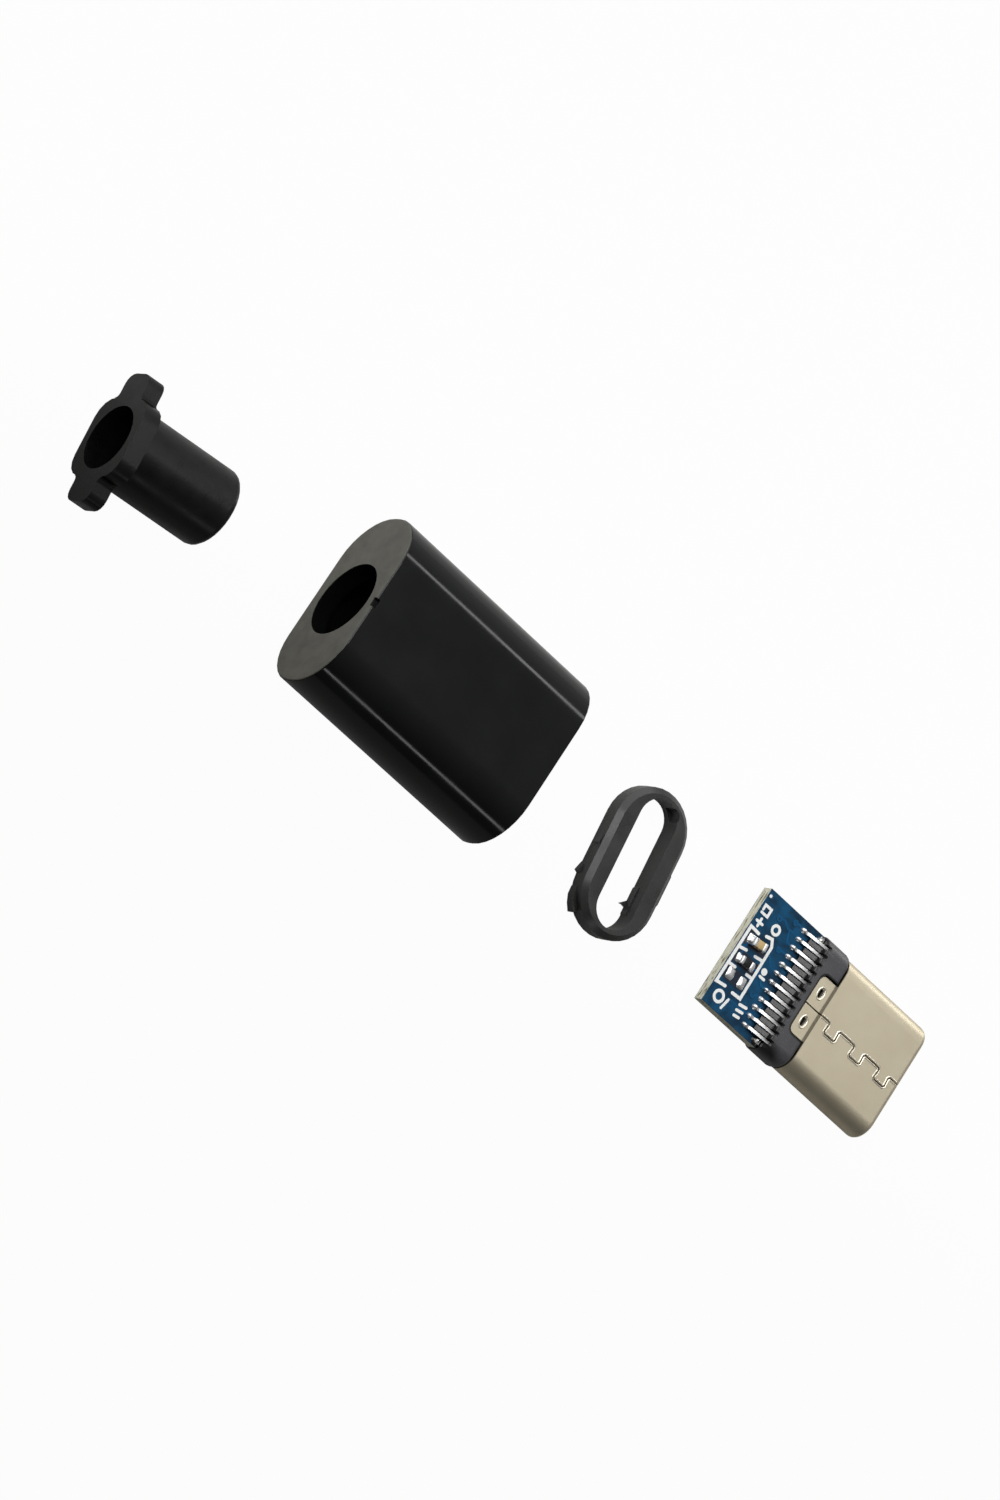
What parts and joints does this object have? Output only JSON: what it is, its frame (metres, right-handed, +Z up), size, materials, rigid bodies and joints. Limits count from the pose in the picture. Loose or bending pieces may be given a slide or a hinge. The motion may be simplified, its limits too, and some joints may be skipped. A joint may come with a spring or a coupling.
{
  "type": "usb-c plug",
  "caption": "Reversible cable plug of the solder-it-yourself kind, laid out in pieces: metal-shelled connector on a small circuit board, retaining ring, housing and strain-relief sleeve.",
  "frame": {"origin": "on the table, under the middle of the laid-out pieces", "axes": "+Z up from the table, +X along the line of pieces from the strain relief to the connector's mouth, +Y across it"},
  "size_m": [0.0696, 0.0122, 0.0066],
  "materials": {
    "housing_plastic": "satin black moulding",
    "ring_plastic": "fine matt charcoal moulding",
    "relief_plastic": "soft matt black moulding",
    "block_plastic": "dark grey glass-filled moulding, slight gloss",
    "nickel_plate": "nickel plate over rolled sheet, warm satin",
    "gold_plate": "gold plate, bright",
    "spring_steel": "stainless spring strip, bright",
    "board_laminate": "blue solder mask over glass-epoxy laminate",
    "board_print": "white board print",
    "solder": "bright solder",
    "capacitor_ceramic": "fired tan ceramic",
    "resistor_ceramic": "black glazed ceramic"
  },
  "bodies": {
    "root": {"strain_relief": "relief_plastic", "housing": "housing_plastic", "retaining_ring": "ring_plastic", "metal_shell": "nickel_plate", "contact_block": "block_plastic", "front_insulator": "block_plastic", "upper_contact_01": "gold_plate", "upper_contact_02": "gold_plate", "upper_contact_03": "gold_plate", "upper_contact_04": "gold_plate", "upper_contact_05": "gold_plate", "upper_contact_06": "gold_plate", "upper_contact_07": "gold_plate", "upper_contact_08": "gold_plate", "upper_contact_09": "gold_plate", "upper_contact_10": "gold_plate", "upper_contact_11": "gold_plate", "upper_contact_12": "gold_plate", "lower_contact_01": "gold_plate", "lower_contact_02": "gold_plate", "lower_contact_03": "gold_plate", "lower_contact_04": "gold_plate", "lower_contact_05": "gold_plate", "lower_contact_06": "gold_plate", "lower_contact_07": "gold_plate", "lower_contact_08": "gold_plate", "lower_contact_09": "gold_plate", "lower_contact_10": "gold_plate", "lower_contact_11": "gold_plate", "lower_contact_12": "gold_plate", "latch_plate": "spring_steel", "upper_ground_spring": "spring_steel", "lower_ground_spring": "spring_steel", "circuit_board": "board_laminate", "capacitor": "capacitor_ceramic", "resistor": "resistor_ceramic"}
  },
  "joints": []
}
